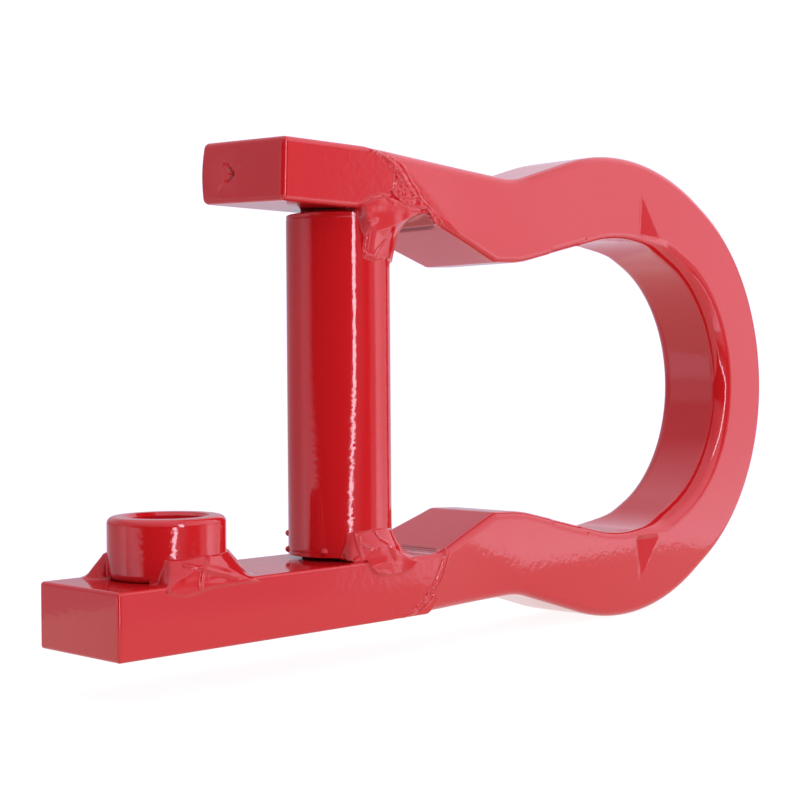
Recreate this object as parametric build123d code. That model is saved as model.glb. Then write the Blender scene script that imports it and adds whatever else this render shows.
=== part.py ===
from build123d import *
import math
import os

# Dee shackle: an omega-shaped bow butt-welded to two flat-bar legs, a round
# cross rod welded between the legs, and a bored boss welded on the longer leg.
# Millimetres. The origin is on the cross rod's axis, midway through the bar
# depth and level with the middle of the bow. +X runs along the legs towards
# the crown, +Y through the depth of the bars, +Z up along the cross rod.

# ---- bars and legs ----
BAR_DEPTH = 30.0
BAR_THICK = 15.0
BAR_EDGE_R = 0.8
LOWER_LEG_END_X = -78.0
LOWER_INNER_Z = -42.0
UPPER_LEG_END_X = -31.0
UPPER_INNER_Z = 44.8
UPPER_LEG_ROLL = 2.5
LEG_BLANK_END_X = 30.0

# ---- cross rod ----
ROD_R = 13.0
ROD_BOTTOM_Z = -41.1
ROD_TOP_Z = 43.6
ROD_END_ROUND = 1.6

# ---- boss ----
BOSS_X = -54.0
BOSS_R = 13.5
BOSS_HEIGHT = 14.0
BOSS_EDGE_R = 1.6
BORE_R = 9.0
BORE_CHAMFER = 0.8

# ---- bow ----
CROWN_X = 114.6
CROWN_OUTER_R = 62.2
CROWN_INNER_R = 39.8
SHOULDER_SLOPE_DEG = 29.5
INNER_SLOPE_DEG = 25.0
DIP_X = 56.0
DIP_Z = 56.2
DIP_R = 30.0
SHOULDER_X = 112.0
UPPER_SHOULDER_R = 80.0
LOWER_SHOULDER_R = 72.0
NECK_ENTRY_R = 25.0
RIDGE_X = 45.3
RIDGE_Z = 33.2
RIDGE_R = 2.5
NECK_SLOPE = 0.354
BEHIND_RIDGE_X = 57.0
BEHIND_RIDGE_Z = 33.7
BEHIND_RIDGE_R = 50.0
BULGE_X = 110.3
BULGE_R = 60.0
STUB_END_X = -12.0
OUTER_EDGE_R = 2.4
INNER_EDGE_R = 1.8

# ---- bow depth, slimmer past the seams ----
BOW_DEPTH = 24.6
TAPER_START_X = 20.0
TAPER_END_X = 46.0
TAPER_R = 80.0

# ---- rounded bands on the crown's inner edges ----
BAND_R = 4.5
BAND_HALF_ANGLE = 83.0

# ---- butt seams between legs and bow: arcs as (centre x, centre z, radius) ----
SEAM_WIDTH = 2.4
SEAM_PROUD = 0.7
UPPER_SEAM = (-46.0, -35.0, 103.0)
LOWER_SEAM = (1.0, -35.3, 23.0)

# ---- fillet welds ----
WELD_TOE = 0.3
WELD_SINK = 1.5
ROOT_R = 9.5
ROD_WELD_LENGTH = 12.0
ROD_WELD_RX = 19.5
ROD_WELD_SHIFT = 4.5
UPPER_ROD_WELD_BEARINGS = (-118.0, 62.0)
LOWER_ROD_WELD_BEARINGS = (-138.0, 62.0)
BOSS_WELD_LENGTH = 8.5
BOSS_WELD_RX = 20.5
FRONT_BOSS_WELD_BEARINGS = (-128.0, 22.0)
BACK_BOSS_WELD_BEARINGS = (68.0, 158.0)
SECTOR_STEPS = 6

# ---- cutting tools: how far they run past the part, and how edges are told apart ----
REACH = 300.0
MARGIN = 5.0
OUTLINE_SPLIT_Z = 50.0
TOLERANCE = 0.01


HALF_BAR = BAR_DEPTH / 2
HALF_BOW = BOW_DEPTH / 2
UPPER_OUTER_Z = UPPER_INNER_Z + BAR_THICK
LOWER_OUTER_Z = LOWER_INNER_Z - BAR_THICK


def rounded_face(plane, corners):
    """Closed polygon face from (x, y, radius) corners, each corner filleted."""
    with BuildSketch(plane) as sketch:
        with BuildLine():
            Polyline(*[(x, y) for x, y, _ in corners], close=True)
        make_face()
    face = sketch.sketch
    for x, y, radius in corners:
        if radius > 0:
            spot = plane.from_local_coords(Vector(x, y))
            corner = min(face.vertices(), key=lambda v: (Vector(v) - spot).length)
            face = fillet(corner, radius)
    return face


def crown_tangent(radius, slope_deg, x):
    """Height at x of the line that slopes down and touches the crown circle."""
    angle = math.radians(slope_deg)
    return (radius - (x - CROWN_X) * math.sin(angle)) / math.cos(angle)


def crown_corner_x(radius, slope_deg):
    """Where the two mirrored tangent lines of the crown circle would meet."""
    return CROWN_X + radius / math.sin(math.radians(slope_deg))


def outer_corners(leg_z, shoulder_r):
    """Outer outline of one half of the bow, from the leg to the shoulder."""
    shoulder_z = crown_tangent(CROWN_OUTER_R, SHOULDER_SLOPE_DEG, SHOULDER_X)
    return [
        (STUB_END_X, leg_z, 0),
        (DIP_X, DIP_Z, DIP_R),
        (SHOULDER_X, shoulder_z, shoulder_r),
    ]


def inner_corners(leg_z):
    """Inner outline of one half of the bow, from the leg to the bulge."""
    bulge_z = crown_tangent(CROWN_INNER_R, INNER_SLOPE_DEG, BULGE_X)
    return [
        (STUB_END_X, leg_z, 0),
        (RIDGE_X - (leg_z - RIDGE_Z) / NECK_SLOPE, leg_z, NECK_ENTRY_R),
        (RIDGE_X, RIDGE_Z, RIDGE_R),
        (BEHIND_RIDGE_X, BEHIND_RIDGE_Z, BEHIND_RIDGE_R),
        (BULGE_X, bulge_z, BULGE_R),
    ]


def below(corners):
    """The same corners mirrored to the lower half, in reverse order."""
    return [(x, -z, radius) for x, z, radius in reversed(corners)]


def bow_profile():
    """Side profile of the bow, with stubs that run into the legs."""
    outer_apex = (crown_corner_x(CROWN_OUTER_R, SHOULDER_SLOPE_DEG), 0, CROWN_OUTER_R)
    inner_apex = (crown_corner_x(CROWN_INNER_R, INNER_SLOPE_DEG), 0, CROWN_INNER_R)
    corners = outer_corners(UPPER_OUTER_Z, UPPER_SHOULDER_R)
    corners += [outer_apex]
    corners += below(outer_corners(-LOWER_OUTER_Z, LOWER_SHOULDER_R))
    corners += reversed(below(inner_corners(-LOWER_INNER_Z)))
    corners += [inner_apex]
    corners += reversed(inner_corners(UPPER_INNER_Z))
    return rounded_face(Plane.XZ, corners)


def bow_plan():
    """Plan of the bow: full bar depth at the seams, slimmer along the bow."""
    near_x = STUB_END_X - MARGIN
    far_x = CROWN_X + CROWN_OUTER_R + MARGIN
    right = [
        (near_x, -HALF_BAR, 0),
        (TAPER_START_X, -HALF_BAR, TAPER_R),
        (TAPER_END_X, -HALF_BOW, TAPER_R),
        (far_x, -HALF_BOW, 0),
    ]
    left = [(x, -y, radius) for x, y, radius in reversed(right)]
    return rounded_face(Plane.XY, right + left)


def outline_edges(body):
    """Front and back outline edges of the bow, as two lists: outer and inner."""
    outer = []
    inner = []
    inner_reach_x = CROWN_X + CROWN_INNER_R + MARGIN
    for edge in body.edges():
        start = edge.position_at(0)
        middle = edge.position_at(0.5)
        end = edge.position_at(1)
        on_face = min(abs(start.Y), abs(middle.Y), abs(end.Y)) > HALF_BOW - TOLERANCE
        upright = max(abs(start.X - end.X), abs(start.X - middle.X)) < TOLERANCE
        if not on_face or upright:
            continue
        if abs(middle.Z) > OUTLINE_SPLIT_Z or middle.X > inner_reach_x:
            outer.append(edge)
        else:
            inner.append(edge)
    return outer, inner


def band_cutter(side):
    """Ring that rounds the crown's inner edge on the front or back face."""
    ring = CROWN_INNER_R
    face_y = side * HALF_BOW
    with BuildSketch(Plane.XY) as sketch:
        with BuildLine():
            Polyline(
                (ring + BAND_R, face_y),
                (ring + BAND_R, face_y + side),
                (ring - 1, face_y + side),
                (ring - 1, face_y - side * BAND_R),
                (ring, face_y - side * BAND_R),
            )
            RadiusArc(
                (ring, face_y - side * BAND_R),
                (ring + BAND_R, face_y),
                side * BAND_R,
            )
        make_face()
    start = Rot(0, BAND_HALF_ANGLE, 0) * sketch.sketch
    cutter = revolve(start, Axis.Y, -2 * BAND_HALF_ANGLE)
    return Pos(CROWN_X, 0, 0) * cutter


def disc(centre_x, centre_z, radius):
    """Solid disc across the bars, its axis along Y."""
    return Pos(centre_x, 0, centre_z) * Rot(90, 0, 0) * Cylinder(radius, REACH)


def leg_side(seam, offset):
    """Everything on the leg's side of a seam, shifted towards the bow by offset."""
    centre_x, centre_z, radius = seam
    block = Box(REACH, REACH, REACH)
    to_the_left = Pos(centre_x - REACH / 2, 0, centre_z) * block
    return disc(centre_x, centre_z, radius + offset) + to_the_left


def half_space(side):
    """All of the upper (+1) or lower (-1) half of the shackle."""
    block = Box(2 * REACH, REACH, REACH)
    return Pos(0, 0, side * REACH / 2) * block


def bar(start_x, end_x, low_z, high_z):
    """Flat bar along X with slightly rounded edges, left sharp at its far end."""
    block = Box(end_x - start_x, BAR_DEPTH, high_z - low_z)
    body = Pos((start_x + end_x) / 2, 0, (low_z + high_z) / 2) * block
    near = [e for e in body.edges() if e.position_at(0.5).X < end_x - TOLERANCE]
    return fillet(near, BAR_EDGE_R)


def bow_body(profile):
    """The whole bow with its stubs, its edges rounded."""
    body = extrude(profile, amount=HALF_BAR, both=True)
    body = body & extrude(bow_plan(), amount=REACH, both=True)
    outer, inner = outline_edges(body)
    inner_spots = [edge.position_at(0.5) for edge in inner]
    body = fillet(outer, OUTER_EDGE_R)
    inner = [
        edge
        for edge in body.edges()
        if any((edge.position_at(0.5) - spot).length < TOLERANCE for spot in inner_spots)
    ]
    body = fillet(inner, INNER_EDGE_R)
    for side in (-1, 1):
        body = body - band_cutter(side)
    return body


def seam_bead(seam, side, profile):
    """Butt weld that fills the slot between a leg and the bow, standing proud."""
    proud = extrude(offset(profile, SEAM_PROUD), amount=HALF_BAR + SEAM_PROUD, both=True)
    slot = leg_side(seam, SEAM_WIDTH / 2) - leg_side(seam, -SEAM_WIDTH / 2)
    return proud & slot & half_space(side)


def sector(bearings, low_z, high_z):
    """Wedge around the Z axis between two bearings in degrees."""
    start, end = bearings
    points = [(0.0, 0.0)]
    for step in range(SECTOR_STEPS + 1):
        bearing = math.radians(start + (end - start) * step / SECTOR_STEPS)
        points.append((REACH * math.cos(bearing), REACH * math.sin(bearing)))
    with BuildSketch(Plane.XY.offset(low_z)) as sketch:
        with BuildLine():
            Polyline(*points, close=True)
        make_face()
    return extrude(sketch.sketch, amount=high_z - low_z)


def weld_collar(post_r, base_z, tip_z, reach_x, shift_x, bearings):
    """Part of a tapering collar of weld metal from a flat bar up a round post."""
    base = Pos(shift_x, 0, base_z) * Ellipse(reach_x, HALF_BAR + SEAM_PROUD)
    tip = Pos(0, 0, tip_z) * Circle(post_r + WELD_TOE)
    collar = loft([base, tip], ruled=True)
    low_z = min(base_z, tip_z)
    high_z = max(base_z, tip_z)
    root = Pos(0, 0, (low_z + high_z) / 2) * Cylinder(ROOT_R, high_z - low_z + MARGIN)
    return collar & sector(bearings, low_z, high_z) - root


def boss_and_bore():
    """Boss standing on the lower leg, with the bore that runs through both."""
    top_z = LOWER_INNER_Z + BOSS_HEIGHT
    post = Pos(BOSS_X, 0, (LOWER_INNER_Z + top_z) / 2) * Cylinder(BOSS_R, BOSS_HEIGHT)
    post = fillet(post.edges().filter_by(GeomType.CIRCLE), BOSS_EDGE_R)
    length = BOSS_HEIGHT + BAR_THICK
    bore = Pos(BOSS_X, 0, top_z - length / 2) * Cylinder(BORE_R, length + MARGIN)
    flare = Pos(BOSS_X, 0, top_z - BORE_CHAMFER / 2) * Cone(
        BORE_R, BORE_R + BORE_CHAMFER, BORE_CHAMFER
    )
    return post - bore - flare, bore


# ---- bow, cut free at the two seams ----
profile = bow_profile()
bow = bow_body(profile)
for seam, side in ((UPPER_SEAM, 1), (LOWER_SEAM, -1)):
    bow = bow - (leg_side(seam, SEAM_WIDTH / 2) & half_space(side))

# ---- legs, cut to their seams, the upper one rolled slightly in its weld ----
boss, bore = boss_and_bore()
lower_leg = bar(LOWER_LEG_END_X, LEG_BLANK_END_X, LOWER_OUTER_Z, LOWER_INNER_Z)
lower_leg = lower_leg & leg_side(LOWER_SEAM, -SEAM_WIDTH / 2)
lower_leg = lower_leg - bore
upper_leg = bar(UPPER_LEG_END_X, LEG_BLANK_END_X, UPPER_INNER_Z, UPPER_OUTER_Z)
roll_z = (UPPER_INNER_Z + UPPER_OUTER_Z) / 2
upper_leg = Pos(0, 0, roll_z) * Rot(UPPER_LEG_ROLL, 0, 0) * Pos(0, 0, -roll_z) * upper_leg
upper_leg = upper_leg & leg_side(UPPER_SEAM, -SEAM_WIDTH / 2)

# ---- cross rod ----
rod_length = ROD_TOP_Z - ROD_BOTTOM_Z
cross_rod = Pos(0, 0, (ROD_TOP_Z + ROD_BOTTOM_Z) / 2) * Cylinder(ROD_R, rod_length)
cross_rod = fillet(cross_rod.edges().filter_by(GeomType.CIRCLE), ROD_END_ROUND)

# ---- welds, each cut to fit its neighbours exactly ----
upper_seam = seam_bead(UPPER_SEAM, 1, profile)
lower_seam = seam_bead(LOWER_SEAM, -1, profile)
upper_rod_weld = weld_collar(
    ROD_R,
    UPPER_INNER_Z + WELD_SINK,
    UPPER_INNER_Z - ROD_WELD_LENGTH,
    ROD_WELD_RX,
    ROD_WELD_SHIFT,
    UPPER_ROD_WELD_BEARINGS,
)
lower_rod_weld = weld_collar(
    ROD_R,
    LOWER_INNER_Z - WELD_SINK,
    LOWER_INNER_Z + ROD_WELD_LENGTH,
    ROD_WELD_RX,
    ROD_WELD_SHIFT,
    LOWER_ROD_WELD_BEARINGS,
)
upper_rod_weld = upper_rod_weld - cross_rod - upper_leg - bow - upper_seam
lower_rod_weld = lower_rod_weld - cross_rod - lower_leg - bow - lower_seam


def boss_weld(bearings):
    """Fillet weld round part of the boss's foot."""
    collar = weld_collar(
        BOSS_R,
        LOWER_INNER_Z - WELD_SINK,
        LOWER_INNER_Z + BOSS_WELD_LENGTH,
        BOSS_WELD_RX,
        0,
        bearings,
    )
    return Pos(BOSS_X, 0, 0) * collar - boss - lower_leg - bore


parts = {
    "bow": bow,
    "upper_leg": upper_leg,
    "lower_leg": lower_leg,
    "cross_rod": cross_rod,
    "boss": boss,
    "upper_seam_weld": upper_seam,
    "lower_seam_weld": lower_seam,
    "upper_rod_weld": upper_rod_weld,
    "lower_rod_weld": lower_rod_weld,
    "boss_front_weld": boss_weld(FRONT_BOSS_WELD_BEARINGS),
    "boss_back_weld": boss_weld(BACK_BOSS_WELD_BEARINGS),
}

os.makedirs("parts", exist_ok=True)
for node, shape in parts.items():
    export_step(shape, f"parts/{node}.step")
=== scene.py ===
import itertools
import math

import bpy
import numpy as np
from mathutils import Matrix, Vector


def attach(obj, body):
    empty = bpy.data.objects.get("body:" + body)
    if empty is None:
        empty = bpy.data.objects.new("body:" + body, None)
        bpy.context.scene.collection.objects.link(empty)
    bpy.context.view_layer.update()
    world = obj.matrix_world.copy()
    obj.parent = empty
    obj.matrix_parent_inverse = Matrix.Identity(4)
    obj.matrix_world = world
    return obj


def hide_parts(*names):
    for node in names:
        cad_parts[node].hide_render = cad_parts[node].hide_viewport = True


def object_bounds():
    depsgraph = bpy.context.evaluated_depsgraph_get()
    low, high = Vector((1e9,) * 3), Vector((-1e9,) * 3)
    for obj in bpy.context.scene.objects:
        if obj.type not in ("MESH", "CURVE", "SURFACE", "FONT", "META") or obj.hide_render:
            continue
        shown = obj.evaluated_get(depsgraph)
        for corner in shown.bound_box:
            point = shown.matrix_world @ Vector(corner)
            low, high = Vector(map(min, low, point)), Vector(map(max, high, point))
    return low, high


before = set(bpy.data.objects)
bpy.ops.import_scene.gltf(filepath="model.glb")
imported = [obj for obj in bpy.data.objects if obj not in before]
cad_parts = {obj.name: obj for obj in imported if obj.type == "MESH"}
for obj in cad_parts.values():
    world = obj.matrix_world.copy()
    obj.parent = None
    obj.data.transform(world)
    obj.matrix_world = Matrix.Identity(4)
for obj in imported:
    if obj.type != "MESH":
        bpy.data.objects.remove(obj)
CAD_LOW, CAD_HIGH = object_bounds()

# Lengths below are in millimetres of the row frame, turned to metres at the end.
MM = 0.001

# ---- camera: a long lens from the front left, level with the rod's middle ----
CAMERA_PLACE = Vector((-0.2746, -0.2929, 0.0031))
CAMERA_BEARING = 0.791466
CAMERA_PITCH = 0.001093
CAMERA_ROLL = -0.007966
CAMERA_LENS = 71.79
CAMERA_SHIFT_Y = -0.0271

# ---- studio light by bearing from the camera, in degrees: positive is its right ----
WALL_LIGHT = [
    (-180, 0.6), (-130, 0.4), (-108, 0.45), (-93, 0.65), (-82, 1.05), (-68, 0.95),
    (-56, 0.02), (31, 0.02), (42, 0.4), (52, 0.4), (66, 0.1), (72, 0.1),
    (80, 0.7), (88, 0.6), (90, 1.0), (93, 1.8), (96, 2.1), (100, 1.8), (104, 1.7),
    (116, 1.0), (130, 0.7), (180, 0.6),
]
WALL_LIGHT_MAX = 4.0
# a tall narrow window just right of the camera
WINDOW_LIGHT = 14.0
WINDOW_LEFT = (math.radians(33.5), math.radians(35))
WINDOW_RIGHT = (math.radians(40), math.radians(41.5))
WINDOW_TOP = (0.5, 0.62)
# a wide soft box above on the right, between the walls and the plain ceiling
BOX_BEARING = math.radians(95)
BOX_LIGHT = 1.2
BOX_REST = 0.7
BOX_FROM, BOX_TO = 0.17, 0.26
CEILING_LIGHT = 1.35
CEILING_FROM, CEILING_TO = 0.6, 0.85
# the walls brighten towards their feet
FOOT_GAIN = 0.5
FOOT_FROM, FOOT_TO = 0.02, 0.14
# low on the walls, bearings shift sideways: the dark middle is narrower on the
# left, between these bearings, and its bright right edge comes nearer
LEFT_IN = (math.radians(-80), math.radians(-72))
LEFT_OUT = (math.radians(-40), math.radians(-20))
LEFT_SHIFT = math.radians(200)
EDGE_IN = (math.radians(-10), math.radians(5))
EDGE_OUT = (math.radians(55), math.radians(75))
EDGE_SHIFT = math.radians(-140)
# how far the floor sheet reaches past the part, in metres
FLOOR_MARGIN = 0.1
# how far it lies below the part, in millimetres, its grey and its own glow
FLOOR_DROP = 0.2
FLOOR_GREY = 0.16
FLOOR_GLOW = 0.92
# colour of all the light, and the strength of the white that the camera sees
TINT = (1.0, 0.93, 1.09, 1.0)
BACKDROP_LIGHT = 1.1

# ---- sizes of the bars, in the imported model's frame ----
HALF_BAR = 15.0
HALF_BOW = 12.3
# the bow slims past each seam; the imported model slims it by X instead
TAPER_LENGTH = 34.0
TAPER_TO = 70.0
UPPER_TAPER_START = 2.6
LOWER_TAPER_START = 1.6
UPPER_IN = 44.8
UPPER_OUT = 59.8
UPPER_ROLL = math.radians(2.5)
UPPER_END = -31.0
LOWER_IN = -42.0
LOWER_OUT = -57.0
LOWER_END = -78.0
ROD_R = 13.0
ROD_LOW = -41.1
ROD_HIGH = 43.6
BOSS_X = -54.0
BOSS_R = 13.5
BOSS_TOP = -28.0
BORE_R = 9.0
CROWN_X = 114.6
CROWN_OUT_R = 62.2
CROWN_IN_R = 39.8
# legs run on this far under the bow, hidden inside it
LEG_HIDDEN_END = 60.0
BOSS_HIDDEN_FOOT = -43
# edge roundings
UPPER_EDGE_R = 1.3
LOWER_EDGE_R = 0.8
BOSS_EDGE_R = 1.6
BOW_OUTER_EDGE_R = 2.4
BOW_INNER_EDGE_R = 1.8
CROWN_BAND_EXTRA_R = 3.0
# the upper leg's sheared end: how far it bellies, and where that stops
BELLY = 0.8
SHEAR_REACH = 3
UPPER_SEAM = (-46.0, -35.0, 103.0)
LOWER_SEAM = (1.0, -35.3, 23.0)


# ---- camera ----
def add_camera():
    level = math.cos(CAMERA_PITCH)
    forward = Vector((
        math.sin(CAMERA_BEARING) * level,
        math.cos(CAMERA_BEARING) * level,
        -math.sin(CAMERA_PITCH),
    ))
    right = Vector((math.cos(CAMERA_BEARING), -math.sin(CAMERA_BEARING), 0.0))
    up = right.cross(forward)
    c, s = math.cos(CAMERA_ROLL), math.sin(CAMERA_ROLL)
    right, up = right * c + up * s, up * c - right * s
    data = bpy.data.cameras.new("camera")
    data.sensor_width = 36.0
    data.lens = CAMERA_LENS
    data.shift_y = CAMERA_SHIFT_Y
    data.clip_start = 0.01
    data.clip_end = 50.0
    camera = bpy.data.objects.new("camera", data)
    bpy.context.scene.collection.objects.link(camera)
    turn = Matrix((right, up, -forward)).transposed()
    camera.matrix_world = Matrix.Translation(CAMERA_PLACE) @ turn.to_4x4()
    bpy.context.scene.camera = camera


# ---- studio ----
def math_node(tree, kind, *values):
    node = tree.nodes.new("ShaderNodeMath")
    node.operation = kind
    for socket, value in zip(node.inputs, values):
        if isinstance(value, (int, float)):
            socket.default_value = value
        else:
            tree.links.new(value, socket)
    return node.outputs[0]


def between(tree, value, low, high, start=0.0, end=1.0):
    """Smooth step from start to end while the value goes from low to high."""
    node = tree.nodes.new("ShaderNodeMapRange")
    node.interpolation_type = "SMOOTHSTEP"
    numbers = {"From Min": low, "From Max": high, "To Min": start, "To Max": end}
    for name, number in numbers.items():
        node.inputs[name].default_value = number
    tree.links.new(value, node.inputs["Value"])
    return node.outputs[0]


def blended(tree, factor, first, second):
    node = tree.nodes.new("ShaderNodeMix")
    node.data_type = "FLOAT"
    tree.links.new(factor, node.inputs[0])
    tree.links.new(first, node.inputs[2])
    if isinstance(second, float):
        node.inputs[3].default_value = second
    else:
        tree.links.new(second, node.inputs[3])
    return node.outputs[0]


def add_world():
    world = bpy.data.worlds.new("studio")
    bpy.context.scene.world = world
    world.use_nodes = True
    tree = world.node_tree
    tree.nodes.clear()
    out = tree.nodes.new("ShaderNodeOutputWorld")
    back = tree.nodes.new("ShaderNodeBackground")
    tree.links.new(back.outputs[0], out.inputs[0])
    coord = tree.nodes.new("ShaderNodeTexCoord")
    split = tree.nodes.new("ShaderNodeSeparateXYZ")
    tree.links.new(coord.outputs["Generated"], split.inputs[0])
    x, y, z = split.outputs
    s, c = math.sin(CAMERA_BEARING), math.cos(CAMERA_BEARING)
    nearer = math_node(
        tree, "ADD", math_node(tree, "MULTIPLY", x, -s), math_node(tree, "MULTIPLY", y, -c)
    )
    across = math_node(
        tree, "ADD", math_node(tree, "MULTIPLY", x, c), math_node(tree, "MULTIPLY", y, -s)
    )
    bearing = math_node(tree, "ARCTAN2", across, nearer)
    # low down, the dark middle is narrower on the left and its bright edge comes nearer
    left = math_node(
        tree,
        "MULTIPLY",
        between(tree, bearing, *LEFT_IN),
        between(tree, bearing, *LEFT_OUT, 1.0, 0.0),
    )
    right = math_node(
        tree,
        "MULTIPLY",
        between(tree, bearing, *EDGE_IN),
        between(tree, bearing, *EDGE_OUT, 1.0, 0.0),
    )
    shift = math_node(
        tree, "ADD", math_node(tree, "MULTIPLY", left, LEFT_SHIFT),
        math_node(tree, "MULTIPLY", right, EDGE_SHIFT),
    )
    shift = math_node(tree, "MULTIPLY", shift, math_node(tree, "MINIMUM", z, 0.0))
    moved = math_node(tree, "ADD", bearing, shift)
    turn = math_node(tree, "ADD", math_node(tree, "DIVIDE", moved, 2 * math.pi), 0.5)
    ramp = tree.nodes.new("ShaderNodeValToRGB")
    tree.links.new(turn, ramp.inputs[0])
    elements = ramp.color_ramp.elements
    elements[0].color = (*[WALL_LIGHT[0][1] / WALL_LIGHT_MAX] * 3, 1)
    elements[-1].color = (*[WALL_LIGHT[-1][1] / WALL_LIGHT_MAX] * 3, 1)
    for degrees, light in WALL_LIGHT[1:-1]:
        element = elements.new(degrees / 360 + 0.5)
        element.color = (*[light / WALL_LIGHT_MAX] * 3, 1)
    foot = math_node(tree, "MULTIPLY", z, -1.0)
    foot = between(tree, foot, FOOT_FROM, FOOT_TO, 1.0, 1.0 + FOOT_GAIN)
    wall = math_node(tree, "MULTIPLY", ramp.outputs[0], WALL_LIGHT_MAX)
    wall = math_node(tree, "MULTIPLY", wall, foot)
    swing = math_node(tree, "COSINE", math_node(tree, "SUBTRACT", bearing, BOX_BEARING))
    box = math_node(tree, "MULTIPLY", math_node(tree, "MAXIMUM", swing, 0.0), BOX_LIGHT)
    box = math_node(tree, "ADD", box, BOX_REST)
    light = blended(tree, between(tree, z, BOX_FROM, BOX_TO), wall, box)
    light = blended(tree, between(tree, z, CEILING_FROM, CEILING_TO), light, CEILING_LIGHT)
    window = WINDOW_LIGHT
    for value, limits, ends in (
        (moved, WINDOW_LEFT, (0.0, 1.0)),
        (moved, WINDOW_RIGHT, (1.0, 0.0)),
        (z, WINDOW_TOP, (1.0, 0.0)),
    ):
        window = math_node(tree, "MULTIPLY", between(tree, value, *limits, *ends), window)
    light = math_node(tree, "MAXIMUM", light, window)
    # the backdrop itself is plain white, whatever light it throws
    path = tree.nodes.new("ShaderNodeLightPath")
    seen = blended(tree, path.outputs["Is Camera Ray"], light, BACKDROP_LIGHT)
    tree.links.new(seen, back.inputs["Strength"])
    back.inputs["Color"].default_value = TINT


def add_floor():
    z = CAD_LOW.z - FLOOR_DROP * MM
    x0, y0 = CAD_LOW.x - FLOOR_MARGIN, CAD_LOW.y - FLOOR_MARGIN
    x1, y1 = CAD_HIGH.x + FLOOR_MARGIN, CAD_HIGH.y + FLOOR_MARGIN
    mesh = bpy.data.meshes.new("floor")
    mesh.from_pydata([(x0, y0, z), (x1, y0, z), (x1, y1, z), (x0, y1, z)], [], [(0, 1, 2, 3)])
    floor = bpy.data.objects.new("floor", mesh)
    bpy.context.scene.collection.objects.link(floor)
    mat = bpy.data.materials.new("floor_paper")
    mat.use_nodes = True
    shader = mat.node_tree.nodes["Principled BSDF"]
    shader.inputs["Base Color"].default_value = (FLOOR_GREY, FLOOR_GREY, FLOOR_GREY, 1)
    shader.inputs["Roughness"].default_value = 1.0
    shader.inputs["Specular IOR Level"].default_value = 0.0
    shader.inputs["Emission Color"].default_value = (1, 1, 1, 1)
    shader.inputs["Emission Strength"].default_value = FLOOR_GLOW
    mesh.materials.append(mat)


# ---- fields: distance in millimetres, negative inside ----
LATTICE_SIZE = 32
LATTICE = np.random.default_rng(5).uniform(-1, 1, (LATTICE_SIZE,) * 3)


def noise(x, y, z, size, shift=0.0):
    """Smooth noise between -1 and 1 with lumps of the given size."""
    x, y, z = np.broadcast_arrays(x / size + shift, y / size + 2.3 * shift, z / size)
    cells, parts = [], []
    for value in (x, y, z):
        cell = np.floor(value).astype(int)
        part = value - cell
        cells.append(cell)
        parts.append(part * part * (3 - 2 * part))
    total = 0.0
    for i, j, k in itertools.product((0, 1), repeat=3):
        weight = 1.0
        for part, corner in zip(parts, (i, j, k)):
            weight = weight * (part if corner else 1 - part)
        a, b, c = (np.mod(cell + n, LATTICE_SIZE) for cell, n in zip(cells, (i, j, k)))
        total = total + weight * LATTICE[a, b, c]
    return total


def blend(a, b, k):
    """Smaller of two distances, with the corner between them filled over k."""
    h = np.clip(1 - np.abs(a - b) / k, 0, 1)
    return np.minimum(a, b) - h * h * k / 4


def step_up(value, low, high):
    t = np.clip((value - low) / (high - low), 0, 1)
    return t * t * (3 - 2 * t)


def rounded(a, b, r):
    """Corner between two faces at distances a and b, rounded to radius r."""
    a, b = a + r, b + r
    outside = np.hypot(np.maximum(a, 0), np.maximum(b, 0))
    return outside + np.minimum(np.maximum(a, b), 0) - r


def outline_points(corners):
    """Closed outline from (x, z, radius) corners, with each corner rounded."""
    points = []
    for i, (x, z, r) in enumerate(corners):
        here = np.array((x, z), float)
        if r == 0:
            points.append(here)
            continue
        back = np.array(corners[i - 1][:2], float) - here
        ahead = np.array(corners[(i + 1) % len(corners)][:2], float) - here
        back /= np.linalg.norm(back)
        ahead /= np.linalg.norm(ahead)
        half = math.acos(np.clip(back @ ahead, -1, 1)) / 2
        middle = back + ahead
        centre = here + middle / np.linalg.norm(middle) * r / math.sin(half)
        start = here + back * r / math.tan(half) - centre
        end = here + ahead * r / math.tan(half) - centre
        first = math.atan2(start[1], start[0])
        turn = math.atan2(end[1], end[0]) - first
        turn = (turn + math.pi) % (2 * math.pi) - math.pi
        steps = max(2, math.ceil(abs(turn) * r / 1.5))
        for n in range(steps + 1):
            angle = first + turn * n / steps
            points.append(centre + r * np.array((math.cos(angle), math.sin(angle))))
    return np.array(points)


def outline_distance(points, x, z):
    best = np.inf
    inside = False
    for (x0, z0), (x1, z1) in zip(points, np.roll(points, -1, axis=0)):
        dx, dz = x1 - x0, z1 - z0
        if dx == 0 and dz == 0:
            continue
        t = np.clip(((x - x0) * dx + (z - z0) * dz) / (dx * dx + dz * dz), 0, 1)
        best = np.minimum(best, (x - x0 - t * dx) ** 2 + (z - z0 - t * dz) ** 2)
        if dz != 0:
            between = (z0 <= z) != (z1 <= z)
            inside = inside ^ (between & (x < x0 + (z - z0) * dx / dz))
    return np.where(inside, -1.0, 1.0) * np.sqrt(best)


def tangent_z(radius, slope, x):
    return (radius - (x - CROWN_X) * math.sin(slope)) / math.cos(slope)


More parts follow.
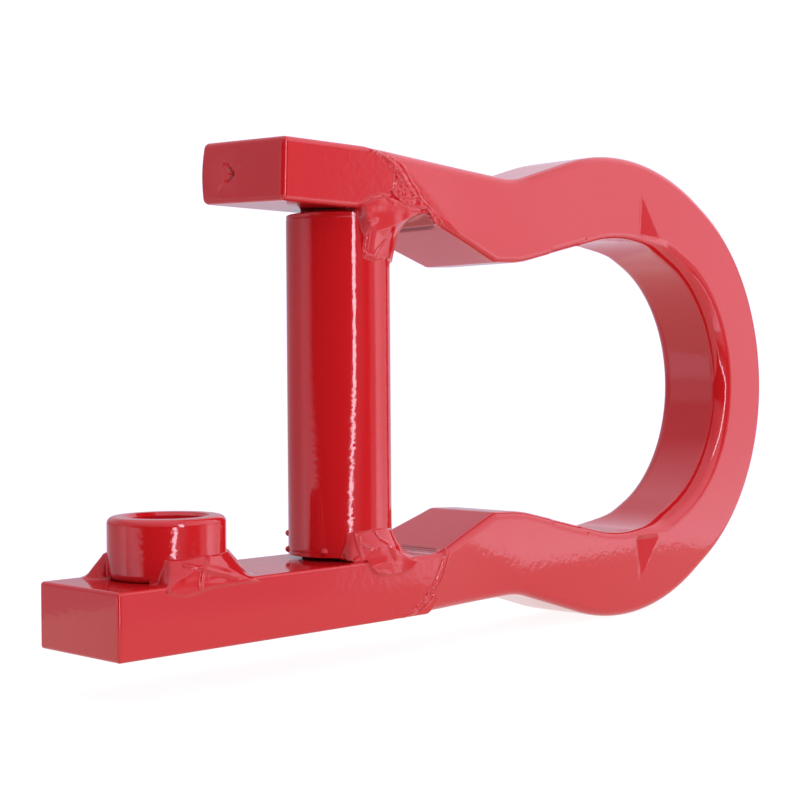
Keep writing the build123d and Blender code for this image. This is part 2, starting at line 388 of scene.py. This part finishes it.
def bow_corners():
    outer_slope, inner_slope = math.radians(29.5), math.radians(25.0)

    def outer(leg_z, shoulder_r):
        shoulder_z = tangent_z(CROWN_OUT_R, outer_slope, 112.0)
        return [(-12.0, leg_z, 0), (56.0, 56.2, 30.0), (112.0, shoulder_z, shoulder_r)]

    def inner(leg_z):
        bulge_z = tangent_z(CROWN_IN_R, inner_slope, 110.3)
        entry_x = 45.3 - (leg_z - 33.2) / 0.354
        return [
            (-12.0, leg_z, 0), (entry_x, leg_z, 25.0), (45.3, 33.2, 2.5),
            (57.0, 33.7, 50.0), (110.3, bulge_z, 60.0),
        ]

    def mirrored(corners):
        return [(x, -z, r) for x, z, r in reversed(corners)]

    return (
        outer(UPPER_OUT, 80.0)
        + [(CROWN_X + CROWN_OUT_R / math.sin(outer_slope), 0, CROWN_OUT_R)]
        + mirrored(outer(-LOWER_OUT, 72.0))
        + [(x, -z, r) for x, z, r in inner(-LOWER_IN)]
        + [(CROWN_X + CROWN_IN_R / math.sin(inner_slope), 0, CROWN_IN_R)]
        + list(reversed(inner(UPPER_IN)))
    )


BOW_OUTLINE = outline_points(bow_corners())
NEAR_X = 62.0
UPPER_NEAR, LOWER_NEAR = (
    BOW_OUTLINE[(BOW_OUTLINE[:, 0] < NEAR_X) & (BOW_OUTLINE[:, 1] * side > 0)]
    for side in (1, -1)
)


def seam_offset(seam, x, z):
    return np.hypot(x - seam[0], z - seam[1]) - seam[2]


def half_depth(x, z):
    """Half the bow's depth: it starts to slim a little way past each seam."""
    seam = np.where(z > 0, seam_offset(UPPER_SEAM, x, z), seam_offset(LOWER_SEAM, x, z))
    start = np.where(z > 0, UPPER_TAPER_START, LOWER_TAPER_START)
    along = np.clip((seam - start) / TAPER_LENGTH, 0, 1)
    eased = 1 - (1 - along) ** 2
    return HALF_BAR + (HALF_BOW - HALF_BAR) * np.where(x > TAPER_TO, 1, eased)


# the flats struck beside the crown's rounded inner edge: tip, foot left, foot right
STRIKES = [
    ((111.4, 56.9), (111.2, 44.2), (120.6, 44.2)),
    ((109.4, -57.7), (108.6, -45.2), (119.3, -45.2)),
]
STRIKE_SLOPE = 0.115


def strike_depth(x, z):
    """How deep the two wedge-shaped flats cut into the front face."""
    depth = 0.0
    for (tip_x, tip_z), (left_x, foot_z), (right_x, _) in STRIKES:
        along = (z - foot_z) / (tip_z - foot_z)
        left = left_x + (tip_x - left_x) * along
        right = right_x + (tip_x - right_x) * along
        wedge = np.clip(right - x, 0, None) * STRIKE_SLOPE
        near = step_up(x, left - 0.7, left + 0.5) * step_up(1.02 - along, 0, 0.06)
        foot = step_up(along, -0.06, 0.02)
        depth = depth + wedge * near * foot
    return depth


def bow_field(x, y, z, outline=BOW_OUTLINE):
    flat = outline_distance(outline, x, z)
    from_crown = np.hypot(x - CROWN_X, z)
    bearing = np.degrees(np.abs(np.arctan2(z, x - CROWN_X)))
    inner_side = (np.abs(z) < 50) & (from_crown < 51) | (x < 70) & (np.abs(z) < 48)
    on_band = step_up(84 - bearing, -9, 9) * (from_crown < 51)
    inner_r = BOW_INNER_EDGE_R + CROWN_BAND_EXTRA_R * on_band
    radius = np.where(inner_side, inner_r, BOW_OUTER_EDGE_R)
    faces = np.abs(y) - half_depth(x, z)
    faces = faces + np.where(y < 0, strike_depth(x, z), 0.0)
    return rounded(flat, faces, radius)


def box_field(x, y, z, low, high, r):
    away = [
        np.maximum(a - v, v - b) + r for v, a, b in zip((x, y, z), low, high)
    ]
    outside = np.sqrt(sum(np.maximum(d, 0) ** 2 for d in away))
    inside = np.minimum(np.maximum(np.maximum(away[0], away[1]), away[2]), 0)
    return outside + inside - r


# the punch mark on the upper leg's end, as strokes of (y, z) from its point
PUNCH = ((3.6, 51.9), [(6.0, 54.4), (5.8, 50.4)], (9.2, 47.4))
SCRATCH = ((0.8, 53.2), (-5.2, 55.6))


def stroke(y, z, start, end):
    dy, dz = end[0] - start[0], end[1] - start[1]
    t = np.clip(((y - start[0]) * dy + (z - start[1]) * dz) / (dy * dy + dz * dz), 0, 1)
    return np.hypot(y - start[0] - t * dy, z - start[1] - t * dz), t


def punch_depth(y, z):
    point, arms, tail = PUNCH
    depth = 0.0
    for arm in arms:
        away, t = stroke(y, z, point, arm)
        depth = np.maximum(depth, (1.3 - 0.7 * t) * np.clip(1 - away / 0.85, 0, 1))
    away, t = stroke(y, z, arms[1], tail)
    depth = np.maximum(depth, 0.2 * (1 - t) * np.clip(1 - away / 0.8, 0, 1))
    away, t = stroke(y, z, *SCRATCH)
    depth = np.maximum(depth, 0.06 * np.clip(1 - away / 0.7, 0, 1))
    return depth


def upper_leg_field(x, y, z):
    c, s = math.cos(UPPER_ROLL), math.sin(UPPER_ROLL)
    middle = (UPPER_IN + UPPER_OUT) / 2
    flat_y = y * c + (z - middle) * s
    flat_z = middle - y * s + (z - middle) * c
    # the sheared end bellies out a little towards the back
    belly = BELLY * np.clip(1 - ((flat_z - middle) / 7.5) ** 2, 0, 1) * step_up(flat_y, 0, 15)
    shifted = x + np.where(x < UPPER_END + SHEAR_REACH, belly, 0.0)
    low = (UPPER_END, -HALF_BAR, UPPER_IN)
    high = (LEG_HIDDEN_END, HALF_BAR, UPPER_OUT)
    body = box_field(shifted, flat_y, flat_z, low, high, UPPER_EDGE_R)
    return body + np.where(x < UPPER_END + SHEAR_REACH, punch_depth(y, z), 0.0)


def lower_leg_field(x, y, z):
    low = (LOWER_END, -HALF_BAR, LOWER_OUT)
    high = (LEG_HIDDEN_END, HALF_BAR, LOWER_IN)
    return box_field(x, y, z, low, high, LOWER_EDGE_R)


def rod_field(x, y, z):
    return np.maximum(np.hypot(x, y) - ROD_R, np.maximum(z - ROD_HIGH, ROD_LOW - z))


def boss_field(x, y, z):
    across = np.hypot(x - BOSS_X, y)
    return rounded(across - BOSS_R, np.maximum(z - BOSS_TOP, BOSS_HIDDEN_FOOT - z), BOSS_EDGE_R)


# ---- meshes from fields ----
def grid_cells(inside):
    shape = [n - 1 for n in inside.shape]
    count = np.zeros(shape, np.int8)
    for i, j, k in itertools.product((0, 1), repeat=3):
        count += inside[i:shape[0] + i, j:shape[1] + j, k:shape[2] + k]
    return np.argwhere((count > 0) & (count < 8))


def skin_points(field, cells):
    total = np.zeros(cells.shape)
    hits = np.zeros(len(cells))
    for axis in range(3):
        first, second = [a for a in range(3) if a != axis]
        for p, q in itertools.product((0, 1), repeat=2):
            start = cells.copy()
            start[:, first] += p
            start[:, second] += q
            end = start.copy()
            end[:, axis] += 1
            fa, fb = field[tuple(start.T)], field[tuple(end.T)]
            cross = (fa < 0) != (fb < 0)
            point = start[cross].astype(float)
            point[:, axis] += fa[cross] / (fa[cross] - fb[cross])
            total[cross] += point
            hits[cross] += 1
    return total / hits[:, None]


def skin_quads(inside, cells):
    number = np.full(inside.shape, -1, np.int64)
    number[tuple(cells.T)] = np.arange(len(cells))
    quads = []
    for axis in range(3):
        first, second = [a for a in range(3) if a != axis]
        ahead = np.roll(inside, -1, axis)
        cross = inside != ahead
        edge = np.argwhere(cross)
        keep = (
            (edge[:, axis] < inside.shape[axis] - 1)
            & (edge[:, first] > 0)
            & (edge[:, second] > 0)
        )
        edge = edge[keep]
        around = []
        for p, q in ((0, 0), (1, 0), (1, 1), (0, 1)):
            cell = edge.copy()
            cell[:, first] -= p
            cell[:, second] -= q
            around.append(number[tuple(cell.T)])
        quad = np.stack(around, 1)
        flip = inside[tuple(edge.T)] == (axis == 1)
        quad[flip] = quad[flip][:, ::-1]
        quads.append(quad)
    return np.concatenate(quads)


def slope_of(field, points, reach=0.05):
    columns = []
    for axis in range(3):
        shift = np.zeros(3)
        shift[axis] = reach
        columns.append(field(*(points + shift).T) - field(*(points - shift).T))
    return np.stack(columns, 1) / (2 * reach)


# each vertex moves to the zero level in this many rounds, by at most this
# part of a cell, with the slope never taken as flatter than the floor
REFINE_ROUNDS = 2
REFINE_REACH = 0.3
SLOPE_FLOOR = 0.25


def make_piece(name, node, field, low, high, step):
    """Closed mesh of the field's zero level, standing for one CAD node."""
    low, high = np.array(low, float), np.array(high, float)
    axes = [np.arange(a, b + step, step) for a, b in zip(low, high)]
    x, y, z = np.meshgrid(*axes, indexing="ij", sparse=True)
    values = np.broadcast_to(field(x, y, z), [len(a) for a in axes]).astype(np.float32)
    inside = values < 0
    cells = grid_cells(inside)
    points = low + step * skin_points(values, cells)
    quads = skin_quads(inside, cells)
    for _ in range(REFINE_ROUNDS):
        slope = slope_of(field, points)
        size = np.maximum((slope ** 2).sum(1), SLOPE_FLOOR)
        move = -field(*points.T)[:, None] * slope / size[:, None]
        points += np.clip(move, -REFINE_REACH * step, REFINE_REACH * step)
    normals = slope_of(field, points, 0.4 * step)
    normals /= np.maximum(np.linalg.norm(normals, axis=1), 1e-9)[:, None]
    mesh = bpy.data.meshes.new(name)
    mesh.from_pydata((points * MM).tolist(), [], quads.tolist())
    mesh.polygons.foreach_set("use_smooth", np.ones(len(quads), bool))
    mesh.update()
    mesh.normals_split_custom_set_from_vertices(normals.tolist())
    piece = bpy.data.objects.new(name, mesh)
    bpy.context.scene.collection.objects.link(piece)
    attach(piece, "root")
    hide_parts(node)
    return piece


# ---- materials ----
RED = (0.465, 0.0085, 0.0105, 1)
PAINT_ROUGHNESS = 0.07
PAINT_IOR = 1.5
PEEL_SCALE = 700.0
LUMP_SCALE = 90.0
# heights of the paint's bumps, in metres
BAR_PEEL = 0.000026
WELD_PEEL = 0.00002
PAINT_LUMPS = 0.00004


def paint_noise(tree, coord, scale):
    node = tree.nodes.new("ShaderNodeTexNoise")
    node.inputs["Scale"].default_value = scale
    node.inputs["Detail"].default_value = 1.0
    tree.links.new(coord.outputs["Object"], node.inputs["Vector"])
    return node.outputs[0]


def paint_bump(tree, height, distance):
    node = tree.nodes.new("ShaderNodeBump")
    node.inputs["Distance"].default_value = distance
    tree.links.new(height, node.inputs["Height"])
    return node


def paint(name, peel, lumps):
    """Glossy red with wide soft lumps under a fine orange peel."""
    mat = bpy.data.materials.new(name)
    mat.use_nodes = True
    tree = mat.node_tree
    shader = tree.nodes["Principled BSDF"]
    shader.inputs["Base Color"].default_value = RED
    shader.inputs["Roughness"].default_value = PAINT_ROUGHNESS
    shader.inputs["IOR"].default_value = PAINT_IOR
    coord = tree.nodes.new("ShaderNodeTexCoord")
    fine = paint_noise(tree, coord, PEEL_SCALE)
    wide = paint_noise(tree, coord, LUMP_SCALE)
    first = paint_bump(tree, wide, lumps)
    second = paint_bump(tree, fine, peel)
    tree.links.new(first.outputs[0], second.inputs["Normal"])
    tree.links.new(second.outputs[0], shader.inputs["Normal"])
    return mat


add_camera()
bpy.context.scene.view_settings.view_transform = "Standard"
add_world()
add_floor()

bar_paint = paint("red_bar_paint", BAR_PEEL, PAINT_LUMPS)
weld_paint = paint("red_weld_paint", WELD_PEEL, PAINT_LUMPS)


# ---- bow and upper leg ----
def bow_cut(x, y, z):
    upper = np.where(z > 0, -seam_offset(UPPER_SEAM, x, z), -1.0)
    lower = np.where(z < 0, np.maximum(-seam_offset(LOWER_SEAM, x, z), LOWER_SEAM[0] - x), -1.0)
    return np.maximum(bow_field(x, y, z), np.maximum(upper, lower))


def upper_leg_cut(x, y, z):
    return np.maximum(upper_leg_field(x, y, z), seam_offset(UPPER_SEAM, x, z))


bow = make_piece("bow_forging", "bow", bow_cut, (-9, -16, -70), (178, 16, 70), 0.7)
upper_leg = make_piece(
    "upper_leg_bar", "upper_leg", upper_leg_cut, (-33, -16.4, 43), (24, 16.4, 62), 0.4
)


# ---- welds ----
# where there is no weld, its skin lies this far under the bars
HIDE = 0.07
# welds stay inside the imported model's box
SKIN_LIMIT_Y = 15.65
COLLAR_LIMIT_Y = 15.35
WELD_STEP = 0.34
# how far a collar's hidden inside lies within its post
SINK = 2.8
# eases the collar's flare, whose field is steeper than a true distance
COLLAR_EASE = 0.85
COLLAR_REACH = 21.5
ROD_COLLAR_X = 5
# a seam's bead is full on the bars' faces and fades inwards over this depth
SEAM_FACE_Y = (13.2, 14.4)


def plates_field(x, y, z, upper):
    """The leg and the end of the bow that meet on one side."""
    if upper:
        seam = seam_offset(UPPER_SEAM, x, z)
        leg = np.maximum(upper_leg_field(x, y, z), seam)
        return np.minimum(leg, np.maximum(bow_field(x, y, z, UPPER_NEAR), -seam - 1.0))
    leg = np.maximum(lower_leg_field(x, y, z), x - 20)
    return np.minimum(leg, bow_field(x, y, z, LOWER_NEAR))


def stroke_bump(u, v, points, wide, high):
    """A narrow ridge along a run of points."""
    bump = 0.0
    for start, end in zip(points, points[1:]):
        away, _ = stroke(u, v, start, end)
        bump = np.maximum(bump, high * np.exp(-((away / wide) ** 2)))
    return bump


# where the upper seam strays from its arc: height, offset
SEAM_STRAY = [
    (43.9, -1.5), (48.0, -2.1), (50.4, -1.0), (52.7, -0.1), (56.1, 1.1), (58.0, 0.4),
]
# rough metal at the foot of the upper seam, as corners of (x, z)
SEAM_PATCH = np.array([
    (1.8, 47.6), (5.0, 49.6), (5.6, 53.6), (8.4, 51.8), (13.3, 46.4), (8.6, 45.7),
])


def upper_seam_field(x, y, z):
    heights, offsets = zip(*SEAM_STRAY)
    stray = np.interp(z, heights, offsets)
    s = seam_offset(UPPER_SEAM, x, z) - stray + 0.3 * noise(x, y, z, 2.0, 0.3)
    bead = np.exp(-((s / 0.75) ** 2)) + 0.4 * np.exp(-(((s - 1.5) / 0.35) ** 2))
    patch = step_up(-outline_distance(SEAM_PATCH, x, z), -0.5, 0.8)
    outer = np.maximum(step_up(np.abs(y), *SEAM_FACE_Y), 0.1 * step_up(z, 56.5, 57.5))
    rough = 0.5 + 0.8 * noise(x, y, z, 1.1, 0.7) + 0.5 * noise(x, y, z, 0.6, 0.2)
    rise = np.maximum(bead, 0.8 * patch * step_up(-y, 0, 5)) * outer * (0.3 + 0.5 * rough)
    rise = rise * (1 - 0.85 * step_up(z, 57.6, 59.2))
    skin = plates_field(x, y, z, True) + HIDE - rise
    return np.maximum(skin, np.maximum(np.abs(s) - 3.8, np.abs(y) - SKIN_LIMIT_Y))


def lower_seam_field(x, y, z):
    s = seam_offset(LOWER_SEAM, x, z)
    low = step_up(-49.0 - z, 0, 3)
    s = s + 0.3 * noise(x, y, z, 3.0, 1.3) + 0.2
    bead = np.exp(-((s / 0.6) ** 2)) + 0.35 * np.exp(-(((s - 1.3) / 0.3) ** 2))
    outer = np.maximum(step_up(np.abs(y), *SEAM_FACE_Y), 0.1 * step_up(-z, 54.0, 55.0))
    rough = 0.5 + (0.3 + 0.7 * low) * noise(x, y, z, 1.0, 0.9)
    rough = rough + 0.4 * low * noise(x, y, z, 0.6, 2.9)
    rise = bead * outer * (0.25 + 0.45 * rough) * (1 - 0.85 * step_up(-z, 55.4, 56.6))
    skin = plates_field(x, y, z, False) + HIDE - rise
    ends = np.maximum(z + 20, (1 - x) * 0.5)
    edge = np.maximum(ends, np.abs(y) - SKIN_LIMIT_Y)
    return np.maximum(skin, np.maximum(np.abs(s) - 3.4, edge))


def collar(x, y, z, centre_x, post_r, plate_z, up, toe, flare, bearings, soft):
    """Weld metal that flares from a post out to the plate it stands on."""
    px = x - centre_x
    across = np.hypot(px, y)
    bearing = np.degrees(np.arctan2(y, px))
    middle = (bearings[0] + bearings[1]) / 2
    off = np.abs((bearing - middle + 180) % 360 - 180)
    here = step_up((bearings[1] - bearings[0]) / 2 - off, -soft, soft)
    t = 1 - (plate_z - z) * up / toe
    here = here * step_up(t, -0.05, 0.08)
    t = np.clip(t, 0, 1.2)
    lip, straight, curl, power = flare
    out = lip + straight * t + curl * t ** power
    radius = post_r - SINK + here * (SINK + out)
    metal = np.maximum((across - radius) * COLLAR_EASE, np.abs(y) - COLLAR_LIMIT_Y)
    return metal, here, bearing


# read off the photograph, in the fitted camera: on a post as bearing and
# height, on the legs' front faces as x and z
UPPER_TOE = [(-125, 32.6), (-118.4, 32.1), (-104.7, 31.4), (-92.7, 30.7), (-84.1, 31.3),
             (-68.9, 31.9), (-40, 31.0), (20, 32.0), (75, 31.5)]
UPPER_RIDGES = [
    [(-106.2, 32.8), (-106.0, 36.4), (-103.8, 39.4), (-101.6, 40.6), (-94.6, 41.4)],
    [(-103.1, 33.0), (-92.4, 32.4)],
    [(-90.7, 32.2), (-85.2, 34.7), (-77.2, 36.8)],
]
UPPER_FOLDS = [[(-6.9, 44.6), (-3.5, 46.6), (0.6, 47.9), (2.0, 47.5), (3.3, 46.6), (4.7, 46.0)]]


def on_post(ridges, bearing, z, radius, wide, high):
    arc = radius * math.pi / 180
    runs = [[(b * arc, height) for b, height in ridge] for ridge in ridges]
    return sum(stroke_bump(bearing * arc, z, run, wide, high) for run in runs)


def on_face(folds, x, y, z, wide, high):
    return sum(stroke_bump(x, z, fold, wide, high) for fold in folds) * (y < -13)


def upper_rod_weld_field(x, y, z):
    bearings, toes = zip(*UPPER_TOE)
    toe_z = np.interp(np.degrees(np.arctan2(y, x)), bearings, toes)
    metal, here, bearing = collar(
        x, y, z, 0.0, ROD_R, UPPER_IN, 1, UPPER_IN - toe_z, (0.5, 2.0, 6.5, 4), (-109, 72), 10
    )
    lump = 0.35 * noise(x, y, z, 7.0, 0.1) + 0.1 * noise(x, y, z, 3.0, 0.5)
    lump = lump + on_post(UPPER_RIDGES, bearing, z, 14.5, 0.38, 0.34)
    tongue = np.maximum(46.9 - ((x - 2.5) / 5.0) ** 2, 44.2)
    metal = np.maximum(metal - here * lump, z - tongue)
    skin = blend(rod_field(x, y, z), metal, 0.7)
    skin = blend(skin, plates_field(x, y, z, True), 0.2 + 1.8 * here)
    skin = skin + HIDE - on_face(UPPER_FOLDS, x, y, z, 0.35, 0.3)
    edge = np.maximum(np.abs(y) - SKIN_LIMIT_Y, np.maximum(29 - z, z - 48.6))
    return np.maximum(skin, np.maximum(edge, np.hypot(x - ROD_COLLAR_X, y) - COLLAR_REACH))


LOWER_RIDGES = [
    [(-118.9, -33.0), (-118.0, -35.2), (-116.1, -37.7), (-114.5, -40.3), (-122.8, -41.4),
     (-129.2, -42.8)],
    [(-113.8, -36.0), (-113.9, -37.2), (-108.9, -37.7), (-100.5, -38.6)],
    [(-94.6, -34.8), (-92.2, -36.3), (-82.7, -37.7)],
    [(-80.2, -38.2), (-77.2, -40.0), (-73.9, -41.6)],
]
LOWER_FOLDS = [
    [(2.7, -42.9), (-0.8, -43.1), (-3.5, -43.4), (-2.2, -44.5), (0.6, -45.0)],
]

# drops of weld metal caught on the rod: bearing, height
SPATTER = [(math.radians(134), -36.0), (math.radians(140), -39.9), (math.radians(-151), -39.6)]
SPATTER_R = 0.8


def lower_rod_weld_field(x, y, z):
    toe = 7.6 + 0.9 * noise(x, y, 0 * z, 6.0, 4.0)
    metal, here, bearing = collar(
        x, y, z, 0.0, ROD_R, LOWER_IN, -1, toe, (0.3, 3.2, 1.4, 3), (-131, 72), 11
    )
    lump = 0.4 * noise(x, y, z, 6.5, 3.1) + 0.1 * noise(x, y, z, 3.0, 1.5)
    lump = lump + on_post(LOWER_RIDGES, bearing, z, 15.0, 0.38, 0.38)
    tongue = -45.2 + np.clip((x - 4.0) / 6.5, -1.4, 1.4) ** 4
    metal = np.maximum(metal - here * lump, tongue - z)
    skin = blend(rod_field(x, y, z), metal, 0.7)
    skin = blend(skin, plates_field(x, y, z, False), 0.2 + 1.4 * here)
    skin = skin + HIDE - on_face(LOWER_FOLDS, x, y, z, 0.35, 0.3)
    for turn, height in SPATTER:
        ball_x, ball_y = ROD_R * math.cos(turn), ROD_R * math.sin(turn)
        ball = np.sqrt((x - ball_x) ** 2 + (y - ball_y) ** 2 + (z - height) ** 2) - SPATTER_R
        skin = blend(skin, ball, 0.3)
    edge = np.maximum(np.abs(y) - SKIN_LIMIT_Y, np.maximum(z + 29.5, -47.5 - z))
    return np.maximum(skin, np.maximum(edge, np.hypot(x - ROD_COLLAR_X, y) - COLLAR_REACH))


BOSS_RIDGES = [
    [(-96.1, -38.8), (-82.4, -35.2)],
    [(-96.1, -38.8), (-62.4, -41.6)],
    [(-96.1, -38.8), (-99.0, -42.8)],
    [(-96.1, -38.8), (-112.6, -37.7)],
]


def boss_weld(bearings, soft, shift, ridges):
    def field(x, y, z):
        toe = 6.2 + 0.8 * noise(x, y, 0 * z, 5.0, shift + 2)
        metal, here, bearing = collar(
            x, y, z, BOSS_X, BOSS_R, LOWER_IN, -1, toe, (0.3, 4.2, 0.8, 3), bearings, soft
        )
        lump = 0.35 * noise(x, y, z, 5.0, shift) + 0.15 * noise(x, y, z, 2.4, shift + 1)
        lump = lump + on_post(ridges, bearing, z, 15.5, 0.4, 0.42)
        tongue = -42.7 - 1.3 * np.exp(-(((x + 60) / 5) ** 2))
        metal = np.maximum(metal - here * lump, tongue - z)
        skin = blend(boss_field(x, y, z), metal, 0.8)
        skin = blend(skin, plates_field(x, y, z, False), 0.2 + 1.2 * here) + HIDE
        skin = np.maximum(skin, BORE_R + 1 - np.hypot(x - BOSS_X, y))
        edge = np.maximum(np.abs(y) - SKIN_LIMIT_Y, np.maximum(z + 31, -46.5 - z))
        px = x - BOSS_X
        middle = (bearings[0] + bearings[1]) / 2
        off = np.abs((bearing - middle + 180) % 360 - 180)
        span = (off - (bearings[1] - bearings[0]) / 2 - soft) * 0.2
        return np.maximum(np.maximum(skin, edge), np.maximum(span, np.hypot(px, y) - COLLAR_REACH))
    return field


welds = [
    make_piece("upper_seam_bead", "upper_seam_weld", upper_seam_field,
               (-22, -16.2, 36), (34, 16.2, 62), WELD_STEP),
    make_piece("lower_seam_bead", "lower_seam_weld", lower_seam_field,
               (-4, -16.2, -59.5), (31, 16.2, -35), WELD_STEP),
    make_piece("upper_rod_bead", "upper_rod_weld", upper_rod_weld_field,
               (-17, -16.2, 28), (28, 16.2, 50), WELD_STEP),
    make_piece("lower_rod_bead", "lower_rod_weld", lower_rod_weld_field,
               (-17, -16.2, -48.5), (28, 16.2, -28), WELD_STEP),
    make_piece("boss_front_bead", "boss_front_weld", boss_weld((-133, 8), 11, 5.0, BOSS_RIDGES),
               (-76, -16.2, -47.5), (-31, 16.2, -30), WELD_STEP),
    make_piece("boss_back_bead", "boss_back_weld", boss_weld((76, 150), 8, 8.0, []),
               (-76, -16.2, -47.5), (-34, 16.2, -30), WELD_STEP),
]

for piece in welds:
    piece.data.materials.append(weld_paint)
for piece in (bow, upper_leg):
    piece.data.materials.append(bar_paint)
for name in ("lower_leg", "cross_rod", "boss"):
    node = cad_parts[name]
    node.data.materials.clear()
    node.data.materials.append(bar_paint)
